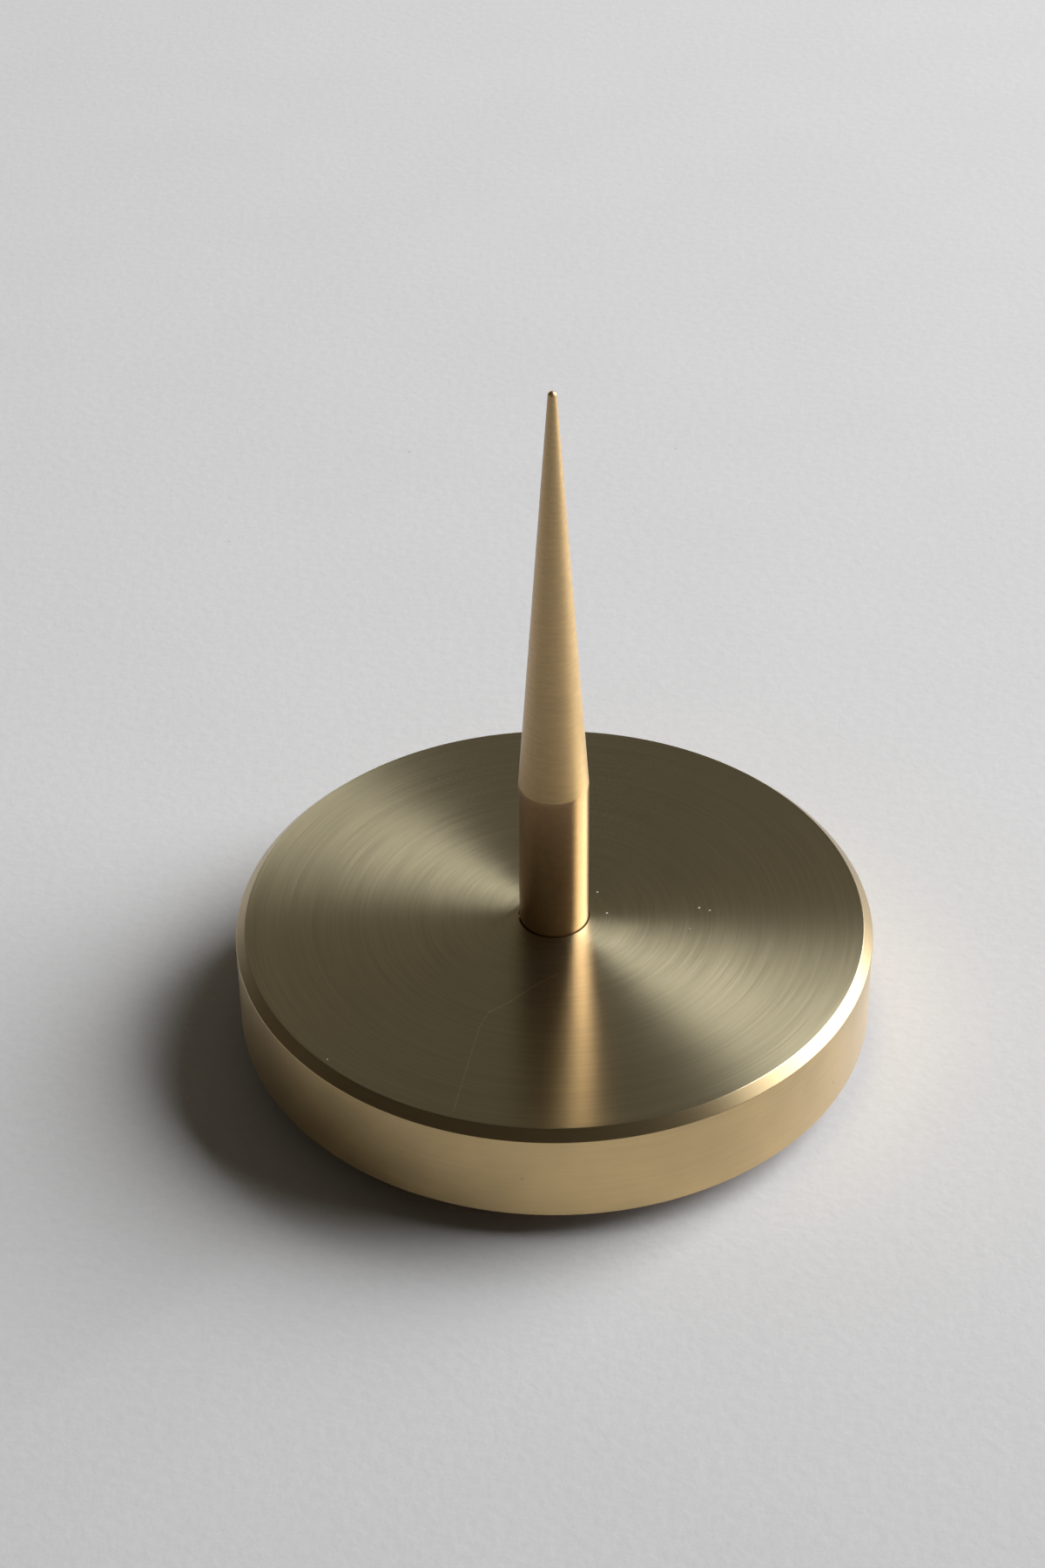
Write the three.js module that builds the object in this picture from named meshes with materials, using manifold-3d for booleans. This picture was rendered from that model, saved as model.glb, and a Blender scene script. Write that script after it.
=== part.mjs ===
// A brass candle spike: a heavy turned disc carrying a slender point, on which a pillar candle is pressed.
// The spike's foot stands in a shallow seat in the top of the disc. A socket head screw with a spring
// washer pulls it down from below, and a cork ring is let into the underside around the screw.
//
// Millimetres, with +Z up. The origin is the centre of the cork ring's underside, which the part stands on.

import * as THREE from "three";
import { mergeVertices } from "three/addons/utils/BufferGeometryUtils.js";
import Module from "manifold-3d";

const wasm = await Module();
wasm.setup();

// Disc
const DISC_DIAMETER = 60;
const DISC_THICKNESS = 10;
const RIM_CHAMFER = 0.9;
const LOWER_EDGE_CHAMFER = 0.3;
const WEB_THICKNESS = 2; // what the screw clamps, between the spike's seat and the washer

// Spike
const SHANK_DIAMETER = 6.5;
const SHANK_HEIGHT = 15.6; // the plain length that shows above the disc
const CONE_LENGTH = 41.4; // from the plain length to the tip
const TIP_RADIUS = 0.4;
const FOOT_CHAMFER = 0.2;
const SEAT_DEPTH = 1;
const SEAT_CLEARANCE = 0.1; // the dark hairline round the foot

// Screw, of the M4 socket head kind
const THREAD_DIAMETER = 4;
const THREAD_PITCH = 0.7;
const SCREW_LENGTH = 10; // under the head
const HEAD_DIAMETER = 7;
const HEAD_HEIGHT = 4;
const HEAD_CHAMFER = 0.4;
const SOCKET_WIDTH = 3; // across the flats of the hexagon
const SOCKET_DEPTH = 2;
const THREAD_CLEARANCE = 0.08; // between the screw's thread and the tapped hole
const TAP_RUNOUT = 1.4; // thread left beyond the end of the screw
const BORE_CLEARANCE = 0.2; // round the thread, in the disc
const COUNTERBORE_CLEARANCE = 0.2; // round the washer or the head, whichever is wider

// Spring washer, shown pressed flat
const WASHER_DIAMETER = 7.6;
const WASHER_THICKNESS = 0.9;
const WASHER_CLEARANCE = 0.15; // round the thread
const WASHER_SLIT = 0.8;
const WASHER_SLIT_ANGLE = 25; // degrees that the slit leans from upright

// Cork ring
const CORK_LAND = 3.8; // brass left round the recess, out to the disc's side
const CORK_THICKNESS = 3; // the dark gap under the disc is what stands out of the recess
const CORK_RECESS_DEPTH = 0.5;
const CORK_CLEARANCE = 0.2; // between the ring and the wall of its recess
const CORK_HOLE_MARGIN = 0.5; // how far the ring's hole stands back from the counterbore

// How finely round shapes are cut
const DISC_SEGMENTS = 96;
const SPIKE_SEGMENTS = 64;
const SCREW_SEGMENTS = 48;
const CORK_SEGMENTS = 72;
const TIP_STEPS = 5;
const THREAD_STEPS = 16; // for each turn
const HEXAGON_SIDES = 6;

// A metric thread has 60 degree flanks, a crest one eighth of the pitch wide and this depth for its pitch.
const FLANK_SLOPE = Math.tan(Math.PI / 6);
const CREST_SHARE = 1 / 8;
const DEPTH_PER_PITCH = (5 / 8) * Math.cos(Math.PI / 6);
const POINT_SLOPE = Math.tan(Math.PI / 6); // a drilled or broached hole ends in a 120 degree cone

const CUT_OVERSHOOT = 1; // how far a cutting solid reaches past the face that it opens
const JOIN_OVERLAP = 0.05; // how far joined solids reach into each other
const MERGE_DISTANCE = 1e-5;

// Sizes and heights that follow from those above
const shankRadius = SHANK_DIAMETER / 2;
const seatRadius = shankRadius + SEAT_CLEARANCE;
const threadDepth = DEPTH_PER_PITCH * THREAD_PITCH;
const crestRadius = THREAD_DIAMETER / 2;
const coreRadius = crestRadius - threadDepth;
const boreRadius = crestRadius + BORE_CLEARANCE;
const counterboreRadius = Math.max(HEAD_DIAMETER, WASHER_DIAMETER) / 2 + COUNTERBORE_CLEARANCE;
const corkHoleRadius = counterboreRadius + CORK_HOLE_MARGIN;
const recessRadius = DISC_DIAMETER / 2 - CORK_LAND;
const corkRadius = recessRadius - CORK_CLEARANCE;
const footAboveHead = WASHER_THICKNESS + WEB_THICKNESS;
const engagedLength = SCREW_LENGTH - footAboveHead;
const seatHeight = DISC_THICKNESS - SEAT_DEPTH; // above the disc's underside
const counterboreHeight = seatHeight - WEB_THICKNESS; // above the disc's underside
const discHeight = CORK_THICKNESS - CORK_RECESS_DEPTH; // of the disc's underside above the table

const brass = { color: 0xb89b62, metalness: 1 };
const steel = { color: 0xb4b5b6, metalness: 1 };
const finishes = {
  brushedBrass: new THREE.MeshStandardMaterial({ ...brass, roughness: 0.38 }),
  satinBrass: new THREE.MeshStandardMaterial({ ...brass, roughness: 0.3 }),
  stainlessSteel: new THREE.MeshStandardMaterial({ ...steel, roughness: 0.35 }),
  springSteel: new THREE.MeshStandardMaterial({ ...steel, roughness: 0.5 }),
  cork: new THREE.MeshStandardMaterial({ color: 0xa9794c, metalness: 0, roughness: 0.9 }),
};

// A solid from a closed geometry, with its shared corners joined and its flattened triangles left out.
function solidFrom(geometry) {
  geometry.deleteAttribute("normal");
  geometry.deleteAttribute("uv");
  const merged = mergeVertices(geometry, MERGE_DISTANCE);
  const corners = merged.index.array;
  const triangles = [];
  for (let i = 0; i < corners.length; i += 3) {
    const [a, b, c] = corners.subarray(i, i + 3);
    if (a !== b && b !== c && c !== a) {
      triangles.push(a, b, c);
    }
  }
  return new wasm.Manifold(new wasm.Mesh({
    numProp: 3,
    vertProperties: merged.attributes.position.array,
    triVerts: new Uint32Array(triangles),
  }));
}

// A solid turned about Z from an outline of [radius, height] points, which runs up the outside.
function turned(outline, segments) {
  const points = outline.map(([radius, height]) => new THREE.Vector2(radius, height));
  const geometry = new THREE.LatheGeometry(points, segments);
  geometry.rotateX(Math.PI / 2);
  return solidFrom(geometry);
}

// A piece in its own frame, lifted to where it belongs on the object.
function piece(name, solid, material, height) {
  const { vertProperties, triVerts } = solid.getMesh();
  const geometry = new THREE.BufferGeometry();
  geometry.setAttribute("position", new THREE.BufferAttribute(vertProperties, 3));
  geometry.setIndex(new THREE.BufferAttribute(triVerts, 1));
  geometry.computeVertexNormals();
  const mesh = new THREE.Mesh(geometry, material);
  mesh.name = name;
  mesh.position.z = height;
  return mesh;
}

// The helical ridge of a right-hand thread, whose turns are counted from phaseHeight. A clearance makes
// it the larger ridge that is cut away for a tapped hole.
function threadRidge(phaseHeight, lowest, highest, clearance) {
  const crest = crestRadius + clearance;
  const crestHalf = (CREST_SHARE * THREAD_PITCH) / 2 + FLANK_SLOPE * clearance;
  const rootHalf = crestHalf + FLANK_SLOPE * (threadDepth + JOIN_OVERLAP);
  const root = crest - threadDepth - JOIN_OVERLAP;
  const section = [[root, -rootHalf], [crest, -crestHalf], [crest, crestHalf], [root, rootHalf]];
  const sides = section.length;
  const firstStep = Math.floor(((lowest - phaseHeight) / THREAD_PITCH - 1) * THREAD_STEPS);
  const lastStep = Math.ceil(((highest - phaseHeight) / THREAD_PITCH + 1) * THREAD_STEPS);
  const positions = [];
  const triangles = [];
  for (let step = firstStep; step <= lastStep; step += 1) {
    const angle = (step / THREAD_STEPS) * 2 * Math.PI;
    const height = phaseHeight + (step / THREAD_STEPS) * THREAD_PITCH;
    for (const [radius, offset] of section) {
      positions.push(radius * Math.cos(angle), radius * Math.sin(angle), height + offset);
    }
  }
  const rings = lastStep - firstStep;
  for (let ring = 0; ring < rings; ring += 1) {
    for (let side = 0; side < sides; side += 1) {
      const a = ring * sides + side;
      const b = ring * sides + ((side + 1) % sides);
      triangles.push(a, a + sides, b, b, a + sides, b + sides);
    }
  }
  const end = rings * sides;
  for (let side = 1; side < sides - 1; side += 1) {
    triangles.push(0, side, side + 1, end, end + side + 1, end + side);
  }
  const geometry = new THREE.BufferGeometry();
  geometry.setAttribute("position", new THREE.Float32BufferAttribute(positions, 3));
  geometry.setIndex(triangles);
  return solidFrom(geometry);
}

// A threaded rod between two heights, with its ridge cut off by the outline that it has to stay in.
function threadedRod(phaseHeight, lowest, highest, clearance, outline) {
  const core = coreRadius + clearance;
  const rod = turned([[0, lowest], [core, lowest], [core, highest], [0, highest]], THREAD_STEPS);
  const ridge = threadRidge(phaseHeight, lowest, highest, clearance);
  return rod.add(ridge).intersect(turned(outline, SCREW_SEGMENTS));
}

// The disc, from its underside up, with the cork's recess, the counterbore, the bore and the spike's seat.
function makeBaseDisc() {
  const rim = DISC_DIAMETER / 2;
  return turned([
    [recessRadius, 0],
    [rim - LOWER_EDGE_CHAMFER, 0],
    [rim, LOWER_EDGE_CHAMFER],
    [rim, DISC_THICKNESS - RIM_CHAMFER],
    [rim - RIM_CHAMFER, DISC_THICKNESS],
    [seatRadius, DISC_THICKNESS],
    [seatRadius, seatHeight],
    [boreRadius, seatHeight],
    [boreRadius, counterboreHeight],
    [counterboreRadius, counterboreHeight],
    [counterboreRadius, CORK_RECESS_DEPTH],
    [recessRadius, CORK_RECESS_DEPTH],
    [recessRadius, 0],
  ], DISC_SEGMENTS);
}

// The spike, from its foot up: a plain shank, a long cone and a small round tip that the cone runs into.
function makeSpike() {
  const shankTop = SEAT_DEPTH + SHANK_HEIGHT;
  const tipCentre = shankTop + CONE_LENGTH - TIP_RADIUS;
  const toCentre = tipCentre - shankTop;
  const slant = Math.hypot(shankRadius, toCentre);
  const coneAngle = Math.atan2(shankRadius, toCentre) - Math.asin(TIP_RADIUS / slant);
  const outline = [
    [0, 0],
    [shankRadius - FOOT_CHAMFER, 0],
    [shankRadius, FOOT_CHAMFER],
    [shankRadius, shankTop],
  ];
  for (let step = 0; step < TIP_STEPS; step += 1) {
    const angle = coneAngle + (Math.PI / 2 - coneAngle) * (step / TIP_STEPS);
    outline.push([TIP_RADIUS * Math.cos(angle), tipCentre + TIP_RADIUS * Math.sin(angle)]);
  }
  outline.push([0, tipCentre + TIP_RADIUS]);
  return turned(outline, SPIKE_SEGMENTS).subtract(makeTappedHole());
}

// The tapped hole in the spike's foot: its thread, a countersunk mouth and the drill's pointed end.
function makeTappedHole() {
  const depth = engagedLength + TAP_RUNOUT;
  const drill = coreRadius + THREAD_CLEARANCE;
  const wide = crestRadius + THREAD_CLEARANCE;
  const reach = wide + JOIN_OVERLAP;
  const outline = [[0, -CUT_OVERSHOOT], [reach, -CUT_OVERSHOOT], [reach, depth], [0, depth]];
  const thread = threadedRod(-footAboveHead, -CUT_OVERSHOOT, depth, THREAD_CLEARANCE, outline);
  const mouth = turned([
    [0, -CUT_OVERSHOOT],
    [wide + CUT_OVERSHOOT, -CUT_OVERSHOOT],
    [drill, wide - drill],
    [0, wide - drill],
  ], SPIKE_SEGMENTS);
  const point = turned([
    [0, depth - JOIN_OVERLAP],
    [drill, depth - JOIN_OVERLAP],
    [0, depth - JOIN_OVERLAP + drill * POINT_SLOPE],
  ], THREAD_STEPS);
  return thread.add(mouth).add(point);
}

// The screw, with its head below the bearing face at height 0 and its thread above it.
function makeFixingScrew() {
  const head = HEAD_DIAMETER / 2;
  const reach = crestRadius + JOIN_OVERLAP;
  const headSolid = turned([
    [0, -HEAD_HEIGHT],
    [head - HEAD_CHAMFER, -HEAD_HEIGHT],
    [head, HEAD_CHAMFER - HEAD_HEIGHT],
    [head, 0],
    [0, 0],
  ], SCREW_SEGMENTS);
  const thread = threadedRod(0, -JOIN_OVERLAP, SCREW_LENGTH, 0, [
    [0, -JOIN_OVERLAP],
    [reach, -JOIN_OVERLAP],
    [reach, SCREW_LENGTH - (reach - coreRadius)],
    [coreRadius, SCREW_LENGTH],
    [0, SCREW_LENGTH],
  ]);
  return headSolid.subtract(makeSocket()).add(thread);
}

// The hexagon socket, which opens at the lower end of the screw's head.
function makeSocket() {
  const corner = SOCKET_WIDTH / Math.sqrt(3);
  const floor = SOCKET_DEPTH - HEAD_HEIGHT;
  const length = SOCKET_DEPTH + CUT_OVERSHOOT;
  const geometry = new THREE.CylinderGeometry(corner, corner, length, HEXAGON_SIDES);
  geometry.rotateX(Math.PI / 2);
  geometry.translate(0, 0, floor - length / 2);
  const flat = SOCKET_WIDTH / 2;
  const point = turned([
    [0, floor - JOIN_OVERLAP],
    [flat - JOIN_OVERLAP, floor - JOIN_OVERLAP],
    [0, floor - JOIN_OVERLAP + flat * POINT_SLOPE],
  ], SCREW_SEGMENTS);
  return solidFrom(geometry).add(point);
}

// The spring washer, pressed flat, below its upper face at height 0, with its slanted slit.
function makeSpringWasher() {
  const inner = crestRadius + WASHER_CLEARANCE;
  const outer = WASHER_DIAMETER / 2;
  const ring = turned([
    [inner, -WASHER_THICKNESS],
    [outer, -WASHER_THICKNESS],
    [outer, 0],
    [inner, 0],
    [inner, -WASHER_THICKNESS],
  ], SCREW_SEGMENTS);
  const length = outer + CUT_OVERSHOOT;
  const height = 2 * (WASHER_THICKNESS + CUT_OVERSHOOT);
  const slit = new THREE.BoxGeometry(length, WASHER_SLIT, height);
  slit.rotateX(THREE.MathUtils.degToRad(WASHER_SLIT_ANGLE));
  slit.translate(length / 2, 0, -WASHER_THICKNESS / 2);
  return ring.subtract(solidFrom(slit));
}

// The cork ring, from its underside up. It stands proud of its recess, and the screw is reached through it.
function makeCorkRing() {
  return turned([
    [corkHoleRadius, 0],
    [corkRadius, 0],
    [corkRadius, CORK_THICKNESS],
    [corkHoleRadius, CORK_THICKNESS],
    [corkHoleRadius, 0],
  ], CORK_SEGMENTS);
}

const washerTop = discHeight + counterboreHeight;
const footHeight = discHeight + seatHeight;

const candleSpike = new THREE.Group();
candleSpike.name = "candle_spike";

const base = new THREE.Group();
base.add(
  piece("base_disc", makeBaseDisc(), finishes.brushedBrass, discHeight),
  piece("spring_washer", makeSpringWasher(), finishes.springSteel, washerTop),
  piece("cork_ring", makeCorkRing(), finishes.cork, 0),
);

candleSpike.add(
  base,
  piece("spike", makeSpike(), finishes.satinBrass, footHeight),
  piece("fixing_screw", makeFixingScrew(), finishes.stainlessSteel, washerTop - WASHER_THICKNESS),
);

export default candleSpike;
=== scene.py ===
import math

import bmesh
import bpy
from mathutils import Matrix, Vector


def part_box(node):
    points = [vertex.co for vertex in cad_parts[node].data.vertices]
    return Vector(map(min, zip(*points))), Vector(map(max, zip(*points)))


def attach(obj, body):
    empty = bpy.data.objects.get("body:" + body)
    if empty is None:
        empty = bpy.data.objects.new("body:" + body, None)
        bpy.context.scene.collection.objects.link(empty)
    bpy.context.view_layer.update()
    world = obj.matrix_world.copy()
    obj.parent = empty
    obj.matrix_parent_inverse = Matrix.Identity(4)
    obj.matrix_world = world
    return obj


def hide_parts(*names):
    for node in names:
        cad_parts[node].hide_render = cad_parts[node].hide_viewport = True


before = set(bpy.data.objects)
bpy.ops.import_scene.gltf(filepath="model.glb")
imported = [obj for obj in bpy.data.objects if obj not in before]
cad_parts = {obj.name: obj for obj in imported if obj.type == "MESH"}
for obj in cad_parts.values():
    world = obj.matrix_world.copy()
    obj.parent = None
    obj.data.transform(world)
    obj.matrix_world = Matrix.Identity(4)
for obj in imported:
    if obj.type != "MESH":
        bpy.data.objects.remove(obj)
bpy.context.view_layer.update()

# The eye looks down on the disc at about 37 degrees, from a third of a metre away, with a lens of 76 mm. The
# tip of the spike stands a little right of the middle of the picture, and the disc fills three fifths of its
# width.
disc_low, disc_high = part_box("base_disc")
eye_back = 0.23874
eye_height = 0.20885  # above the disc's lower edge
look_down = 0.6547  # this turn and the next two are in radians
look_left = 0.0119
lean = -0.0108

camera_data = bpy.data.cameras.new("camera")
camera_data.lens = 75.63
camera_data.sensor_width = 36
camera_data.clip_start = 0.01
camera = bpy.data.objects.new("camera", camera_data)
bpy.context.scene.collection.objects.link(camera)
camera.matrix_world = (
    Matrix.Translation(Vector((0, -eye_back, disc_low.z + eye_height)))
    @ Matrix.Rotation(look_left, 4, "Z")
    @ Matrix.Rotation(math.pi / 2 - look_down, 4, "X")
    @ Matrix.Rotation(lean, 4, "Z")
)
bpy.context.scene.camera = camera
bpy.context.scene.view_settings.view_transform = "Standard"


# Light comes from one large window on the right, a little behind the spike. The rest of the room is dim and
# warm: a far wall behind the sheet, a wall on the left, a near wall behind the eye, and a ceiling. A pale strip
# lies along the horizon behind the sheet.
def place_lamp(name, azimuth, elevation, roll, distance, width, height, power):
    """Hangs a soft white rectangular lamp that faces the disc. Azimuth runs from +X towards +Y. A roll lifts the
    end of the lamp with the greater azimuth. All three are in degrees."""
    data = bpy.data.lights.new(name, "AREA")
    data.shape = "RECTANGLE"
    data.size = width
    data.size_y = height
    data.energy = power
    azimuth, elevation = math.radians(azimuth), math.radians(elevation)
    towards = Vector((
        math.cos(elevation) * math.cos(azimuth),
        math.cos(elevation) * math.sin(azimuth),
        math.sin(elevation),
    ))
    lamp = bpy.data.objects.new(name, data)
    lamp.visible_camera = False
    bpy.context.scene.collection.objects.link(lamp)
    lamp.matrix_world = (
        Matrix.Translation(towards * distance)
        @ towards.to_track_quat("Z", "Y").to_matrix().to_4x4()
        @ Matrix.Rotation(math.radians(roll), 4, "Z")
    )


def add(tree, kind, inputs=None, **settings):
    """Adds a node with the settings given. Each input takes a value or another node's output."""
    made = tree.nodes.new(kind)
    for name, value in settings.items():
        setattr(made, name, value)
    for key, value in (inputs or {}).items():
        if isinstance(value, bpy.types.NodeSocket):
            tree.links.new(value, made.inputs[key])
        else:
            made.inputs[key].default_value = value
    return made


def calc(tree, operation, *values, clamp=False):
    """The output of a Math node."""
    inputs = dict(enumerate(values))
    return add(tree, "ShaderNodeMath", inputs, operation=operation, use_clamp=clamp).outputs[0]


def vector_calc(tree, operation, *values):
    """The outputs of a Vector Math node."""
    return add(tree, "ShaderNodeVectorMath", dict(enumerate(values)), operation=operation).outputs


def scaled(tree, vector, factor):
    """A vector or colour times a number."""
    return add(tree, "ShaderNodeVectorMath", {0: vector, "Scale": factor}, operation="SCALE").outputs[0]


def ramp(tree, value, low, high, start=0.0, end=1.0):
    """A smooth step of value, from start at low to end at high."""
    inputs = {"Value": value, "From Min": low, "From Max": high, "To Min": start, "To Max": end}
    return add(tree, "ShaderNodeMapRange", inputs, interpolation_type="SMOOTHSTEP").outputs["Result"]


place_lamp("window", azimuth=19.5, elevation=31, roll=13, distance=2.0, width=1.78, height=2.06, power=83.0)

room = bpy.data.worlds.new("room")
room.use_nodes = True
bpy.context.scene.world = room
sky = room.node_tree
sky.nodes.clear()
direction = add(sky, "ShaderNodeTexCoord").outputs["Generated"]
direction = add(sky, "ShaderNodeSeparateXYZ", {0: direction}).outputs
right, back, up = direction["X"], direction["Y"], direction["Z"]
far_wall = ramp(sky, back, 0.2, 0.8, 0.0, 0.085)
near_wall = calc(sky, "MULTIPLY", ramp(sky, up, 0.2, 0.4), ramp(sky, back, -0.4, 0.1, 0.026, 0.0))
left_wall = ramp(sky, right, -0.99, -0.82, 0.1, 0.0)
ceiling = ramp(sky, up, 0.25, 0.6, 0.008, 0.031)
horizon = calc(sky, "MULTIPLY", ramp(sky, up, 0.06, 0.2, 1.0, 0.0), ramp(sky, back, 0.72, 0.88, 0.0, 2.3))
walls = calc(sky, "ADD", calc(sky, "ADD", far_wall, ceiling), calc(sky, "ADD", near_wall, left_wall))
warm_walls = scaled(sky, (1.0, 0.86, 0.64), walls)
pale_strip = scaled(sky, (1.0, 1.0, 0.96), horizon)
sky_colour = vector_calc(sky, "ADD", warm_walls, pale_strip)[0]
sky_light = add(sky, "ShaderNodeBackground", {"Color": sky_colour, "Strength": 1.0}).outputs[0]
add(sky, "ShaderNodeOutputWorld", {"Surface": sky_light})


# The disc stands on a sheet of thick pale paper with a fine tooth and a few specks. Towards the front it is
# painted a little darker: painted shade, where the window's light falls off.
sheet_size = 12.0
bm = bmesh.new()
bmesh.ops.create_grid(bm, x_segments=1, y_segments=1, size=sheet_size)
sheet_mesh = bpy.data.meshes.new("sheet")
bm.to_mesh(sheet_mesh)
bm.free()
sheet = bpy.data.objects.new("sheet", sheet_mesh)
bpy.context.scene.collection.objects.link(sheet)


def new_material(name):
    """An empty material, its nodes, and the object's coordinates in it."""
    material = bpy.data.materials.new(name)
    material.use_nodes = True
    tree = material.node_tree
    tree.nodes.clear()
    return material, tree, add(tree, "ShaderNodeTexCoord").outputs["Object"]


def noise(tree, place, scale, detail, roughness=0.5):
    """The outputs of a Noise Texture node."""
    inputs = {"Vector": place, "Scale": scale, "Detail": detail, "Roughness": roughness}
    return add(tree, "ShaderNodeTexNoise", inputs).outputs


def noise_ramp(tree, value, start, end):
    """A smooth step over the range in which nearly all of a noise lies."""
    return ramp(tree, value, 0.3, 0.7, start, end)


def bump(tree, height, strength, depth):
    """The normal of a surface that a height between 0 and 1 raises by up to the depth."""
    return add(tree, "ShaderNodeBump", {"Height": height, "Strength": strength, "Distance": depth}).outputs[0]


paper, tree, place = new_material("paper")
tooth = noise(tree, place, scale=900.0, detail=3.0, roughness=0.6)[0]
clouds = noise(tree, place, scale=45.0, detail=3.0)[0]
fibres = noise(tree, place, scale=1100.0, detail=1.0)[0]
dots = add(tree, "ShaderNodeTexVoronoi", {"Vector": place, "Scale": 90.0}).outputs["Distance"]
away = add(tree, "ShaderNodeSeparateXYZ", {0: place}).outputs["Y"]
shade = calc(tree, "ADD", noise_ramp(tree, tooth, -0.008, 0.008), noise_ramp(tree, clouds, 0.699, 0.711))
shade = calc(tree, "ADD", shade, noise_ramp(tree, fibres, -0.006, 0.006))
# Painted shade: the sheet darkens towards the front, as the window's light falls off there.
shade = calc(tree, "MULTIPLY", shade, ramp(tree, away, -0.12, 0.0, 0.84, 1.0))
shade = calc(tree, "MULTIPLY", shade, ramp(tree, dots, 0.012, 0.02, 0.8, 1.0))
skin = add(
    tree, "ShaderNodeBsdfPrincipled",
    {
        "Base Color": scaled(tree, (0.99, 0.995, 1.015), shade), "Roughness": 0.85,
        "Specular IOR Level": 0.2, "Normal": bump(tree, tooth, strength=0.5, depth=0.00006),
    },
)

# Farther off, where the window's light falls away, the sheet is seen as pale as it is beside the disc.
pale_from = 0.7
pale_whole = 1.5
ray = add(tree, "ShaderNodeLightPath").outputs
seen = calc(tree, "MAXIMUM", ray["Is Glossy Ray"], ray["Is Transmission Ray"])
seen = calc(tree, "MAXIMUM", seen, ray["Is Camera Ray"])
distance = vector_calc(tree, "LENGTH", place)["Value"]
far_away = calc(tree, "MULTIPLY", seen, ramp(tree, distance, pale_from, pale_whole))
far_sheet = add(tree, "ShaderNodeEmission", {"Color": (0.62, 0.62, 0.63, 1), "Strength": 1.0})
whole = add(tree, "ShaderNodeMixShader", {0: far_away, 1: skin.outputs[0], 2: far_sheet.outputs[0]})
add(tree, "ShaderNodeOutputMaterial", {"Surface": whole.outputs[0]})
sheet_mesh.materials.append(paper)


# The base is a solid disc of brass, turned from bar. Its top face is brushed in fine circles, its rim has a
# chamfer of 45 degrees, and below it is recessed for the cork and counterbored for the head of the screw. Its
# underside is dull and painted dark: painted shade, which keeps the gap under the disc dark.
cork_low, cork_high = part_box("cork_ring")
washer_low, washer_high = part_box("spring_washer")
spike_low, spike_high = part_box("spike")
disc_radius = disc_high.x
disc_top = disc_high.z
disc_bottom = disc_low.z
seat_floor = spike_low.z
web_floor = washer_high.z
recess_top = cork_high.z
rim_chamfer = 0.0009
lower_chamfer = 0.0003
seat_radius = 0.00335
bore_radius = 0.0022
counterbore_radius = 0.004
recess_radius = 0.0262
rim_easing = 0.00006
seat_easing = 0.00003
lower_easing = 0.00008
disc_steps = 360
edge_slack = 0.0001  # how near an edge's middle comes to the place that an edge is looked for at
flat_angle = math.radians(3)  # an edge with a smaller angle is not a corner
crisp_angle = math.radians(32)  # an edge with a greater angle is shaded as a corner


def spin_outline(outline, steps, closed):
    """A bmesh with the outline's points, each a radius and a height, turned once round the Z axis."""
    made = bmesh.new()
    points = [made.verts.new((radius, 0, height)) for radius, height in outline]
    pairs = list(zip(points, points[1:]))
    if closed:
        pairs.append((points[-1], points[0]))
    edges = [made.edges.new(pair) for pair in pairs]
    bmesh.ops.spin(
        made, geom=points + edges, cent=(0, 0, 0), axis=(0, 0, 1), dvec=(0, 0, 0), angle=math.tau,
        steps=steps, use_merge=True, use_normal_flip=False, use_duplicate=False,
    )
    bmesh.ops.remove_doubles(made, verts=made.verts, dist=1e-7)
    bmesh.ops.recalc_face_normals(made, faces=made.faces)
    return made


def ease_edges(made, width, segments, wanted):
    """Rounds the sharp edges whose middle passes the test."""
    sharp = [
        edge for edge in made.edges
        if edge.is_manifold and edge.calc_face_angle() > flat_angle
        and wanted((edge.verts[0].co + edge.verts[1].co) / 2)
    ]
    bmesh.ops.bevel(
        made, geom=sharp, offset=width, offset_type="OFFSET", segments=segments, profile=0.5,
        affect="EDGES", material=-1, clamp_overlap=True,
    )


def finish_piece(name, made, body, node, materials, choose):
    """Makes the object of a bmesh. choose gives each face's material, by its place in the list."""
    for face in made.faces:
        face.smooth = True
        face.material_index = choose(face)
    for edge in made.edges:
        if edge.is_manifold and edge.calc_face_angle() > crisp_angle:
            edge.smooth = False
    mesh = bpy.data.meshes.new(name)
    made.to_mesh(mesh)
    made.free()
    for material in materials:
        mesh.materials.append(material)
    piece = bpy.data.objects.new(name, mesh)
    bpy.context.scene.collection.objects.link(piece)
    even = piece.modifiers.new("even_normals", "WEIGHTED_NORMAL")
    even.keep_sharp = True
    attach(piece, body)
    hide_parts(node)


def unroll(made, outline):
    """Gives a turned mesh a map that unrolls it: across is the way round the Z axis, and up is the way along the
    outline, so that the turned lines stay straight on it."""
    flat = made.loops.layers.uv.new("OFBake")
    ways = [(Vector(start), Vector(end) - Vector(start)) for start, end in zip(outline, outline[1:])]
    total = sum(way.length for _, way in ways)
    known = {}

    def along(point):
        passed, best = 0.0, (math.inf, 0.0)
        for start, way in ways:
            share = min(max((point - start).dot(way) / way.length_squared, 0.0), 1.0)
            gap = (start + way * share - point).length
            best = min(best, (gap, passed + share * way.length))
            passed += way.length
        return best[1] / total

    for face in made.faces:
        middle = face.calc_center_median()
        middle_turn = math.atan2(middle.y, middle.x) % math.tau
        for loop in face.loops:
            at = loop.vert.co
            key = (round(at.xy.length, 7), round(at.z, 7))
            if key not in known:
                known[key] = along(Vector(key))
            turn = math.atan2(at.y, at.x) % math.tau if key[0] > 0 else middle_turn
            if turn - middle_turn > math.pi:
                turn -= math.tau
            elif middle_turn - turn > math.pi:
                turn += math.tau
            loop[flat].uv = (min(max(turn / math.tau, 0.0), 1.0), known[key])


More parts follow.
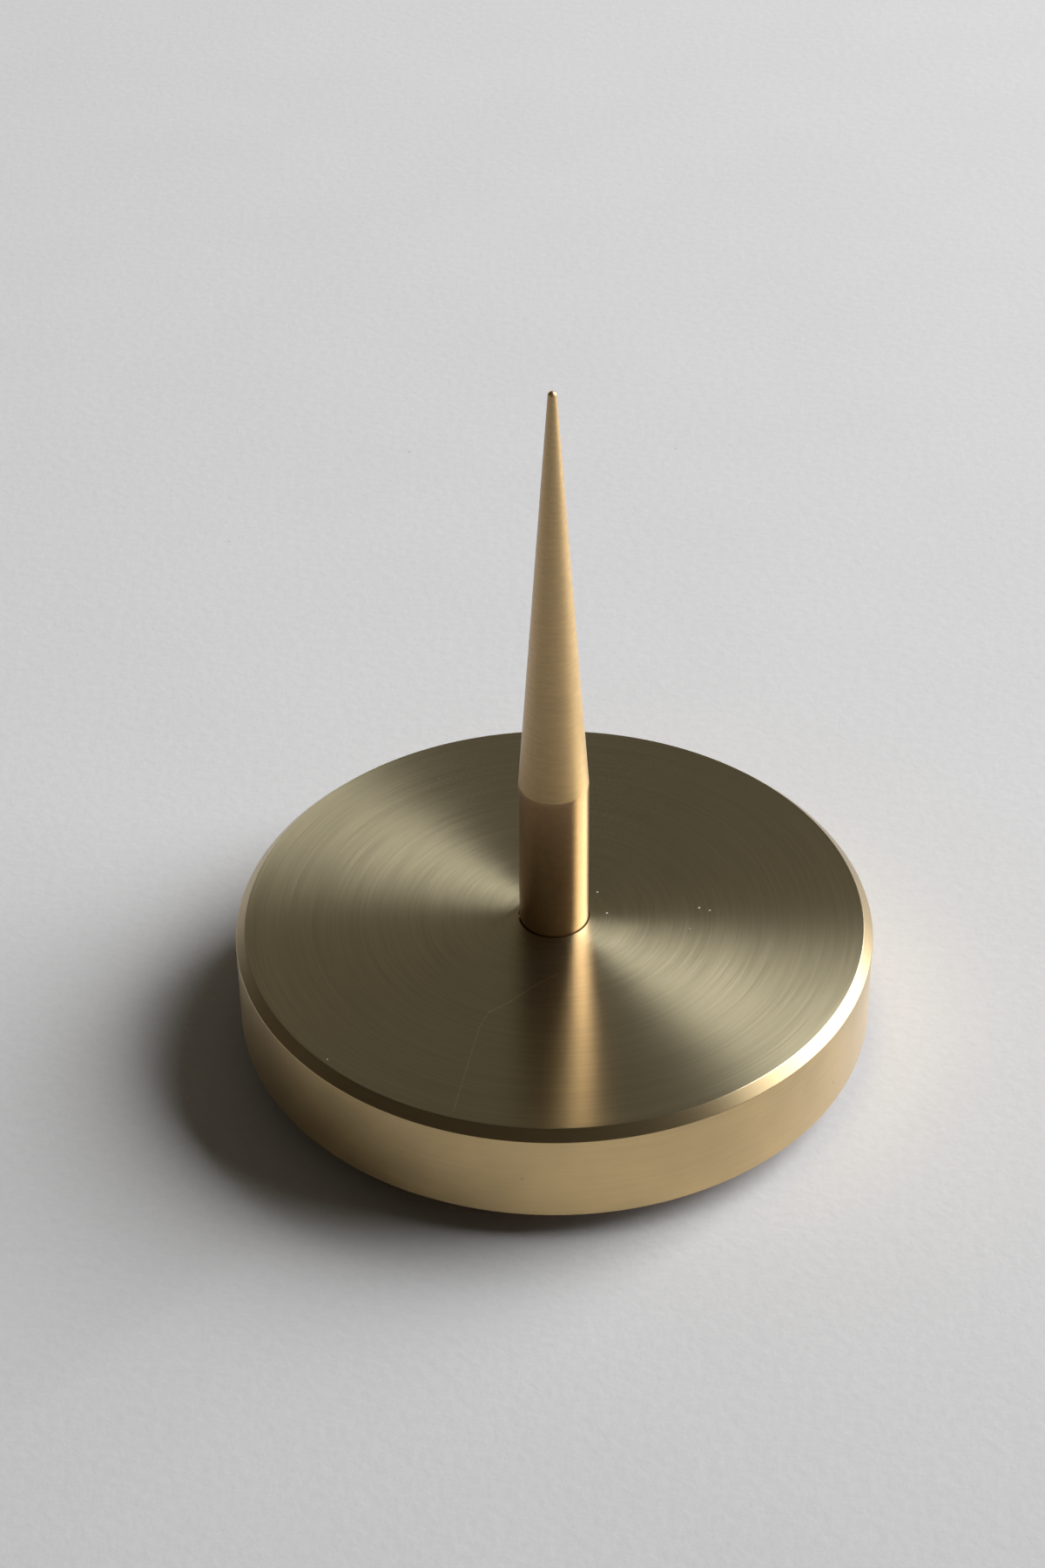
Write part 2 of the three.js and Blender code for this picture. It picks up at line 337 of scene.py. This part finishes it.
disc_outline = [
    (bore_radius, web_floor),
    (bore_radius, seat_floor),
    (seat_radius, seat_floor),
    (seat_radius, disc_top),
    (disc_radius - rim_chamfer, disc_top),
    (disc_radius, disc_top - rim_chamfer),
    (disc_radius, disc_bottom + lower_chamfer),
    (disc_radius - lower_chamfer, disc_bottom),
    (recess_radius, disc_bottom),
    (recess_radius, recess_top),
    (counterbore_radius, recess_top),
    (counterbore_radius, web_floor),
]
disc = spin_outline(disc_outline, disc_steps, closed=True)
ease_edges(disc, rim_easing, 3, lambda at: at.z > seat_floor and at.xy.length > seat_radius * 2)
ease_edges(
    disc, seat_easing, 2,
    lambda at: at.z > disc_top - edge_slack and at.xy.length < seat_radius + edge_slack,
)
ease_edges(disc, lower_easing, 2, lambda at: at.z < recess_top + edge_slack)
unroll(disc, disc_outline + disc_outline[:1])


def off_axis(tree, place):
    """A place moved level to the height of 0, its distance from the Z axis, and its height."""
    split = add(tree, "ShaderNodeSeparateXYZ", {0: place}).outputs
    level = add(tree, "ShaderNodeCombineXYZ", {"X": split["X"], "Y": split["Y"]}).outputs[0]
    return level, vector_calc(tree, "LENGTH", level)["Value"], split["Z"]


def turning_marks():
    """Fine circular lines left by the lathe or the brush, as noise drawn out round the Z axis. Across the lines
    the coordinate is the radius less the height, which grows all along the outline from the top centre to the
    foot."""
    group = bpy.data.node_groups.new("turning_marks", "ShaderNodeTree")
    group.interface.new_socket("Vector", in_out="INPUT", socket_type="NodeSocketVector")
    for name, value in (("Lines", 3000.0), ("Arc", 2.0), ("Detail", 2.0)):
        socket = group.interface.new_socket(name, in_out="INPUT", socket_type="NodeSocketFloat")
        socket.default_value = value
    group.interface.new_socket("Mark", in_out="OUTPUT", socket_type="NodeSocketFloat")
    given = add(group, "NodeGroupInput").outputs
    level, radius, height = off_axis(group, given["Vector"])
    around = scaled(group, vector_calc(group, "NORMALIZE", level)[0], given["Arc"])
    across = calc(group, "MULTIPLY", calc(group, "SUBTRACT", radius, height), given["Lines"])
    across = add(group, "ShaderNodeCombineXYZ", {"Z": across}).outputs[0]
    at = vector_calc(group, "ADD", around, across)[0]
    grain = noise(group, at, scale=1.0, detail=given["Detail"], roughness=0.65)[0]
    add(group, "NodeGroupOutput", {"Mark": ramp(group, grain, 0.25, 0.75)})
    return group


def scratch_mask():
    """A thin straight mark from one point to another, 1 along its middle and 0 outside its half width. Where the
    two points are the same it is a round speck."""
    group = bpy.data.node_groups.new("scratch", "ShaderNodeTree")
    for name in ("Vector", "From", "To"):
        group.interface.new_socket(name, in_out="INPUT", socket_type="NodeSocketVector")
    socket = group.interface.new_socket("Half Width", in_out="INPUT", socket_type="NodeSocketFloat")
    socket.default_value = 0.0001
    group.interface.new_socket("Mask", in_out="OUTPUT", socket_type="NodeSocketFloat")
    given = add(group, "NodeGroupInput").outputs
    run = vector_calc(group, "SUBTRACT", given["To"], given["From"])[0]
    off = vector_calc(group, "SUBTRACT", given["Vector"], given["From"])[0]
    square = calc(group, "ADD", vector_calc(group, "DOT_PRODUCT", run, run)["Value"], 1e-12)
    along = vector_calc(group, "DOT_PRODUCT", off, run)["Value"]
    along = calc(group, "DIVIDE", along, square, clamp=True)
    gap = vector_calc(group, "DISTANCE", off, scaled(group, run, along))["Value"]
    share = calc(group, "DIVIDE", gap, given["Half Width"])
    add(group, "NodeGroupOutput", {"Mask": ramp(group, share, 0.5, 1.0, 1.0, 0.0)})
    return group


marks = turning_marks()
scratch = scratch_mask()
dust_colour = (0.62, 0.56, 0.50, 1)
coarse_spacing = 0.3  # there are this many coarse lines for one fine line
fine_share = 0.8
coarse_share = 0.2


def mix(tree, factor, first, second):
    """A colour between two others."""
    return add(tree, "ShaderNodeMix", {0: factor, 6: first, 7: second}, data_type="RGBA").outputs[2]


def round_tangent(tree, place):
    """The direction round the Z axis at each point of the surface."""
    upright = add(tree, "ShaderNodeCombineXYZ", {"Z": 1.0}).outputs[0]
    round_axis = vector_calc(tree, "CROSS_PRODUCT", upright, place)[0]
    return add(
        tree, "ShaderNodeVectorTransform", {0: round_axis}, vector_type="VECTOR", convert_from="OBJECT",
        convert_to="WORLD",
    ).outputs[0]


def mark_at(tree, place, start, end, half_width):
    """The mask of one scratch or speck."""
    inputs = {"Vector": place, "From": start, "To": end, "Half Width": half_width}
    return add(tree, "ShaderNodeGroup", inputs, node_tree=scratch).outputs[0]


def turned_metal(
    name, colour, roughness, anisotropy, line_contrast, line_depth, lines, arc, lacquer=0.0, gloss=0.25,
    blotches=0.03, line_gloss=0.02, zones=(), scratches=(), specks=(),
):
    """Turned metal under a coat of lacquer. Its lines run round the Z axis, and the gloss is drawn out across
    them. Lines is how many there are in a metre. A zone is two radii between which the roughness changes, and by
    how much. A scratch is a start, an end, a half width and a brightness, and a speck of dust is a place and a
    radius."""
    material, tree, place = new_material(name)
    fine = add(tree, "ShaderNodeGroup", node_tree=marks)
    coarse = add(tree, "ShaderNodeGroup", node_tree=marks)
    for node, spacing in ((fine, 1.0), (coarse, coarse_spacing)):
        tree.links.new(place, node.inputs["Vector"])
        node.inputs["Lines"].default_value = lines * spacing
        node.inputs["Arc"].default_value = arc
        node.inputs["Detail"].default_value = 3.0
    both = calc(tree, "MULTIPLY", coarse.outputs[0], coarse_share)
    both = calc(tree, "MULTIPLY_ADD", fine.outputs[0], fine_share, both)
    blotch = noise(tree, place, scale=110.0, detail=4.0)[0]
    shade = calc(tree, "MULTIPLY_ADD", both, line_contrast, 1 - line_contrast / 2)
    shade = calc(tree, "MULTIPLY", shade, noise_ramp(tree, blotch, 1 - blotches, 1 + blotches))
    for start, end, half_width, brightness in scratches:
        line = mark_at(tree, place, start, end, half_width)
        shade = calc(tree, "MULTIPLY", shade, calc(tree, "MULTIPLY_ADD", line, brightness - 1, 1.0))
    tint = scaled(tree, colour, shade)
    rough = ramp(tree, both, 0.0, 1.0, roughness * (1 - line_gloss), roughness * (1 + line_gloss))
    rough = calc(tree, "MULTIPLY", rough, noise_ramp(tree, blotch, 1 - blotches / 2, 1 + blotches / 2))
    if zones:
        _, radius, _ = off_axis(tree, place)
        for inner, outer, change in zones:
            rough = calc(tree, "MULTIPLY", rough, ramp(tree, radius, inner, outer, 1.0, change))
    bare = 1.0
    for at, size in specks:
        dust = mark_at(tree, place, at, at, size)
        tint = mix(tree, dust, tint, dust_colour)
        rough = calc(tree, "MAXIMUM", rough, dust)
        bare = calc(tree, "SUBTRACT", bare, dust, clamp=True)
    metal = add(
        tree, "ShaderNodeBsdfPrincipled",
        {
            "Base Color": tint, "Metallic": bare, "Roughness": rough, "Anisotropic": anisotropy,
            "Anisotropic Rotation": 0.25, "Tangent": round_tangent(tree, place),
            "Normal": bump(tree, both, strength=1.0, depth=line_depth),
            "Coat Weight": lacquer, "Coat Roughness": gloss,
        },
    )
    add(tree, "ShaderNodeOutputMaterial", {"Surface": metal.outputs[0]})
    return material


# One hairline scratch runs over the brushed face, from near its front edge to the foot of the spike. Each point
# but the last has the half width and the brightness of the stretch after it.
hairline = [
    ((-0.0089, -0.0268, disc_top), 0.00009, 1.2),
    ((-0.0068, -0.0159, disc_top), 0.00008, 1.2),
    ((-0.006, -0.0138, disc_top), 0.00008, 1.3),
    ((-0.0041, -0.0124, disc_top), 0.00008, 1.4),
    ((-0.0018, -0.0101, disc_top), 0.00008, 1.4),
    ((0.0003, -0.0085, disc_top), None, None),
]
brushed_face = turned_metal(
    "brushed_face", (0.615, 0.555, 0.37), roughness=0.297, anisotropy=0.905, line_contrast=0.18,
    line_depth=0.000002, lines=4200.0, arc=1.6, lacquer=0.3, gloss=0.35, blotches=0.01, line_gloss=0.03,
    zones=[(0.0185, 0.0235, 0.97), (0.027, 0.0286, 1.04)],
    scratches=[
        (start, end, half_width, brightness)
        for (start, half_width, brightness), (end, _, _) in zip(hairline, hairline[1:])
    ],
    specks=[
        ((0.00413, 0.00338, disc_top), 0.00012),
        ((0.00499, 0.00027, disc_top), 0.00012),
        ((0.01372, 0.001, disc_top), 0.00014),
        ((0.01469, 0.00061, disc_top), 0.00011),
        ((0.01271, -0.00206, disc_top), 0.00008),
        ((-0.02033, -0.02006, disc_top), 0.00008),
    ],
)
satin_rim = turned_metal(
    "satin_rim", (0.60, 0.43, 0.19), roughness=0.36, anisotropy=0.5, line_contrast=0.10,
    line_depth=0.000001, lines=3000.0, arc=3.0, lacquer=1.0, gloss=0.3, blotches=0.09,
    scratches=[
        ((0.02562, -0.0156, 0.0052), (0.02552, -0.0158, 0.00575), 0.00006, 0.45),
        ((-0.00301, -0.02985, 0.0071), (-0.00281, -0.02987, 0.0072), 0.00007, 0.5),
    ],
)
cut_chamfer = turned_metal(
    "cut_chamfer", (0.41, 0.315, 0.175), roughness=0.33, anisotropy=0.4, line_contrast=0.06,
    line_depth=0.000001, lines=3000.0, arc=3.0, lacquer=0.3, gloss=0.25,
)
# Painted shade: the underside is given a dark brass colour, so that the gap under the disc stays dark.
dark_underside_shade = turned_metal(
    "dark_underside_shade", (0.26, 0.17, 0.09), roughness=0.55, anisotropy=0.3, line_contrast=0.2,
    line_depth=0.000003, lines=3000.0, arc=3.0,
)
disc_materials = [brushed_face, satin_rim, cut_chamfer, dark_underside_shade]


def disc_material(face):
    """The place in the list of a face's material, by where the face lies and which way it looks."""
    middle = face.calc_center_median()
    # Faces that look down take the underside's painted shade.
    if face.normal.z < -0.5:
        return disc_materials.index(dark_underside_shade)
    if middle.z < disc_top - rim_chamfer or middle.xy.length < seat_radius:
        return disc_materials.index(satin_rim)
    return disc_materials.index(brushed_face if face.normal.z > 0.9 else cut_chamfer)


finish_piece("disc", disc, "base", "base_disc", disc_materials, disc_material)


# The spike is one piece of turned brass rod: a smooth shank, and a long cone that ends in a small round tip. Its
# foot sits in the seat of the disc, and is drilled and tapped from below for the screw.
shank_radius = spike_high.x
foot = spike_low.z
foot_chamfer = 0.0002
shank_height = 0.0156  # above the disc
shank_top = disc_top + shank_height
shoulder_easing = 0.0003
tip_radius = 0.0004
tip_centre = spike_high.z - tip_radius
tip_steps = 8
spike_steps = 192
cone_slope = math.asin((shank_radius - tip_radius) / math.hypot(shank_radius, tip_centre - shank_top))

thread_radius = 0.002
thread_pitch = 0.0007
flank = math.pi / 6
thread_depth = thread_pitch * 5 / 8 * math.cos(flank)  # five eighths of a sharp thread's depth
thread_steps = 32
thread_start = washer_low.z  # the turns are counted from the face under the screw's head
tap_clearance = 0.00008
tap_depth = 0.0085
tap_top = foot + tap_depth
drill_point = 0.001
same_place = 1e-6  # points nearer to each other than this are one
cut_slack = 1e-8  # a point this near to a cut lies on it


def thread(lowest, highest, clearance):
    """The open tube of a right-hand thread with 60 degree flanks, cut level at both ends. The outline of its
    turns winds up by one pitch in a full round, where it meets itself one turn higher."""
    made = bmesh.new()
    crest = thread_radius + clearance
    core = crest - thread_depth
    crest_half = thread_pitch / 16 + math.tan(flank) * clearance
    root_half = crest_half + math.tan(flank) * thread_depth
    first = math.floor((lowest - thread_start) / thread_pitch) - 2
    last = math.ceil((highest - thread_start) / thread_pitch) + 1
    one_turn = ((core, -root_half), (crest, -crest_half), (crest, crest_half), (core, root_half))
    points = []
    for turn in range(first, last + 1):
        middle = thread_start + turn * thread_pitch
        for radius, offset in one_turn:
            points.append(made.verts.new((radius, 0, middle + offset)))
    edges = [made.edges.new(pair) for pair in zip(points, points[1:])]
    bmesh.ops.spin(
        made, geom=points + edges, cent=(0, 0, 0), axis=(0, 0, 1), dvec=(0, 0, thread_pitch / thread_steps),
        angle=math.tau, steps=thread_steps, use_merge=False, use_normal_flip=False, use_duplicate=False,
    )
    bmesh.ops.remove_doubles(made, verts=made.verts, dist=same_place)
    for height, side in ((lowest, 1), (highest, -1)):
        bmesh.ops.bisect_plane(
            made, geom=made.verts[:] + made.edges[:] + made.faces[:], dist=cut_slack,
            plane_co=(0, 0, height), plane_no=(0, 0, side), clear_inner=True, clear_outer=False,
        )
    return made


def limit_radius(made, limit):
    """Moves each point in or out to the radius that limit gives for its own radius and height."""
    for vert in made.verts:
        radius = vert.co.xy.length
        if radius > same_place:
            scale = limit(radius, vert.co.z) / radius
            vert.co.x *= scale
            vert.co.y *= scale


def open_edges(made, height):
    """The edges of an open ring at a height."""
    return [
        edge for edge in made.edges
        if edge.is_boundary and all(abs(vert.co.z - height) < same_place for vert in edge.verts)
    ]


def join(made, other):
    """Adds another bmesh to the first one."""
    spare = bpy.data.meshes.new("spare")
    other.to_mesh(spare)
    other.free()
    made.from_mesh(spare)
    bpy.data.meshes.remove(spare)


def close_ring(made, height):
    """Fills the level face between the two open rings at a height."""
    bmesh.ops.triangle_fill(made, edges=open_edges(made, height), use_beauty=True, use_dissolve=False)


tip_outline = []
for step in range(tip_steps + 1):
    turn = cone_slope + (math.pi / 2 - cone_slope) * step / tip_steps
    tip_outline.append((tip_radius * math.cos(turn), tip_centre + tip_radius * math.sin(turn)))
spike_outline = [
    (shank_radius - foot_chamfer, foot),
    (shank_radius, foot + foot_chamfer),
    (shank_radius, shank_top),
    *tip_outline,
]
spike = spin_outline(spike_outline, spike_steps, closed=False)
ease_edges(spike, shoulder_easing, 3, lambda at: abs(at.z - shank_top) < edge_slack)
tapped_hole = thread(foot, tap_top, tap_clearance)
mouth = thread_radius + tap_clearance
limit_radius(tapped_hole, lambda radius, height: max(radius, mouth - (height - foot)))
drilled_end = bmesh.ops.holes_fill(tapped_hole, edges=open_edges(tapped_hole, tap_top), sides=0)["faces"]
point = bmesh.ops.poke(tapped_hole, faces=drilled_end)["verts"]
bmesh.ops.translate(tapped_hole, verts=point, vec=(0, 0, drill_point))
join(spike, tapped_hole)
close_ring(spike, foot)
bmesh.ops.recalc_face_normals(spike, faces=spike.faces)
unroll(spike, [(0, tap_top + drill_point), (mouth, tap_top), (mouth, foot), *spike_outline])

polished_shank = turned_metal(
    "polished_shank", (0.45, 0.28, 0.14), roughness=0.32, anisotropy=0.5, line_contrast=0.14,
    line_depth=0.000001, lines=3000.0, arc=3.0, lacquer=0.7, gloss=0.3,
)
turned_cone = turned_metal(
    "turned_cone", (0.60, 0.415, 0.19), roughness=0.55, anisotropy=0.4, line_contrast=0.23,
    line_depth=0.000003, lines=3600.0, arc=1.5, lacquer=1.0, gloss=0.4, line_gloss=0.05,
)
finish_piece(
    "candle_spike", spike, "spike", "spike", [polished_shank, turned_cone],
    lambda face: 1 if face.calc_center_median().z > shank_top else 0,
)


# A socket head screw of stainless steel comes up through the disc from below and holds the spike. Its head is
# knurled round the side and has a hexagon socket.
screw_low, screw_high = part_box("fixing_screw")
head_radius = screw_high.x
head_chamfer = 0.0004
head_steps = 96
knurl_depth = 0.00008
socket_flat = 0.0015  # from the axis to each of the six flats
socket_corner = socket_flat / math.cos(math.pi / 6)
socket_depth = 0.002
socket_floor = screw_low.z + socket_depth
socket_drill = 0.00145
socket_point = 0.0008


def hexagon_radius(x, y):
    """How far the side of the socket is from the axis, in the direction of a point."""
    sixth = math.pi / 3
    turn = (math.atan2(y, x) + sixth / 2) % sixth - sixth / 2
    return socket_flat / math.cos(turn)


head_outline = [
    (head_radius, thread_start),
    (head_radius, screw_low.z + head_chamfer),
    (head_radius - head_chamfer, screw_low.z),
    (socket_corner, screw_low.z),
    (socket_corner, socket_floor),
    (socket_drill, socket_floor),
    (0, socket_floor + socket_point),
]
head = spin_outline(head_outline, head_steps, closed=False)
for vert in head.verts:
    radius = vert.co.xy.length
    place_round = round(math.atan2(vert.co.y, vert.co.x) / (math.tau / head_steps))
    if abs(radius - socket_corner) < same_place:
        wanted = hexagon_radius(vert.co.x, vert.co.y)
    elif abs(radius - head_radius) < same_place and place_round % 2:
        wanted = head_radius - knurl_depth
    else:
        continue
    vert.co.x *= wanted / radius
    vert.co.y *= wanted / radius
screw_thread = thread(thread_start, screw_high.z, clearance=0)
screw_core = thread_radius - thread_depth
limit_radius(screw_thread, lambda radius, height: min(radius, screw_core + screw_high.z - height))
bmesh.ops.holes_fill(screw_thread, edges=open_edges(screw_thread, screw_high.z), sides=0)
join(head, screw_thread)
close_ring(head, thread_start)
bmesh.ops.recalc_face_normals(head, faces=head.faces)
unroll(head, [(0, screw_high.z), (thread_radius, screw_high.z), (thread_radius, thread_start), *head_outline])

plain_steel = turned_metal(
    "plain_steel", (0.62, 0.62, 0.61), roughness=0.30, anisotropy=0.4, line_contrast=0.08,
    line_depth=0.000002, lines=3000.0, arc=4.0,
)
finish_piece("screw", head, "screw", "fixing_screw", [plain_steel], lambda face: 0)


# Under the head of the screw lies a spring washer: one turn of square steel wire, cut with a slant and pressed
# flat. It keeps the screw tight while candles are pushed on and pulled off.
washer_inner = 0.00215
washer_outer = 0.0038
washer_easing = 0.00005
washer_steps = 120
slit_half = 0.0004
slit_lean = math.radians(25)
slit_middle = Vector((0, 0, (washer_low.z + washer_high.z) / 2))

washer = bmesh.new()
corners = [
    washer.verts.new((radius, 0, height))
    for radius, height in (
        (washer_inner, washer_low.z), (washer_outer, washer_low.z),
        (washer_outer, washer_high.z), (washer_inner, washer_high.z),
    )
]
section = [washer.edges.new((corners[i - 1], corners[i])) for i in range(len(corners))]
bmesh.ops.spin(
    washer, geom=corners + section, cent=(0, 0, 0), axis=(0, 0, 1), dvec=(0, 0, 0), angle=math.tau,
    steps=washer_steps, use_merge=False, use_normal_flip=False, use_duplicate=False,
)
slant = Vector((0, math.cos(slit_lean), math.sin(slit_lean)))
for side in (1, -1):
    near = []
    for face in washer.faces:
        middle = face.calc_center_median()
        if middle.x > 0 and middle.y * side > 0:
            near.append(face)
    edges = list(dict.fromkeys(edge for face in near for edge in face.edges))
    verts = list(dict.fromkeys(vert for face in near for vert in face.verts))
    bmesh.ops.bisect_plane(
        washer, geom=verts + edges + near, dist=cut_slack, plane_co=slit_middle + slant * slit_half * side,
        plane_no=slant * side, clear_inner=True, clear_outer=False,
    )
bmesh.ops.holes_fill(washer, edges=[edge for edge in washer.edges if edge.is_boundary], sides=0)
bmesh.ops.recalc_face_normals(washer, faces=washer.faces)
ease_edges(washer, washer_easing, 2, lambda at: True)

dull_steel = turned_metal(
    "dull_steel", (0.50, 0.50, 0.49), roughness=0.48, anisotropy=0.2, line_contrast=0.10,
    line_depth=0.000003, lines=2500.0, arc=6.0,
)
finish_piece("washer", washer, "base", "spring_washer", [dull_steel], lambda face: 0)


# The disc stands on a ring of pressed cork, cut from sheet and glued into its recess. The screw is reached
# through the hole in its middle.
cork_radius = cork_high.x
cork_hole = 0.0045
cork_steps = 240
cork_cuts = 24
cork_easing = 0.0003

cork_outline = [
    (cork_hole, cork_low.z),
    *[(cork_hole + (cork_radius - cork_hole) * cut / cork_cuts, cork_low.z) for cut in range(1, cork_cuts)],
    (cork_radius, cork_low.z),
    (cork_radius, cork_high.z),
    (cork_hole, cork_high.z),
]
cork = spin_outline(cork_outline, cork_steps, closed=True)
ease_edges(
    cork, cork_easing, 3,
    lambda at: at.z < disc_bottom / 2 and abs(at.xy.length - cork_radius) < edge_slack,
)
unroll(cork, cork_outline + cork_outline[:1])

granules_per_metre = 650.0
granule_bend = 0.0011
brown_granule = (0.33, 0.18, 0.09, 1)
pale_granule = (0.62, 0.41, 0.23, 1)
bark_colour = (0.12, 0.06, 0.035, 1)
seam_colour = (0.16, 0.085, 0.045, 1)
fleck_colour = (0.24, 0.13, 0.07, 1)

pressed_cork, tree, place = new_material("pressed_cork")
wobble = noise(tree, place, scale=1500.0, detail=4.0)["Color"]
bent = vector_calc(tree, "ADD", place, scaled(tree, wobble, granule_bend))[0]
cells = {"Vector": bent, "Scale": granules_per_metre, "Randomness": 1.0}
granule = add(tree, "ShaderNodeTexVoronoi", cells).outputs["Color"]
granule = add(tree, "ShaderNodeSeparateColor", {0: granule}).outputs
seams = add(tree, "ShaderNodeTexVoronoi", cells, feature="DISTANCE_TO_EDGE").outputs["Distance"]
fleck = noise(tree, place, scale=2600.0, detail=3.0)[0]
cork_tone = mix(tree, ramp(tree, granule["Red"], 0.0, 1.0, 0.0, 0.75), brown_granule, pale_granule)
cork_tone = mix(tree, ramp(tree, granule["Green"], 0.86, 0.9, 0.0, 0.8), cork_tone, bark_colour)
cork_tone = mix(tree, ramp(tree, seams, 0.0, 0.06, 0.3, 0.0), cork_tone, seam_colour)
cork_tone = mix(tree, ramp(tree, fleck, 0.45, 0.75, 0.0, 0.35), cork_tone, fleck_colour)
relief = calc(tree, "MULTIPLY", fleck, 0.3)
relief = calc(tree, "MULTIPLY_ADD", ramp(tree, seams, 0.0, 0.08), 0.7, relief)
skin = add(
    tree, "ShaderNodeBsdfPrincipled",
    {
        "Base Color": cork_tone, "Roughness": noise_ramp(tree, fleck, 0.82, 0.95),
        "Normal": bump(tree, relief, strength=0.4, depth=0.0001),
    },
)
add(tree, "ShaderNodeOutputMaterial", {"Surface": skin.outputs[0]})
finish_piece("cork", cork, "base", "cork_ring", [pressed_cork], lambda face: 0)
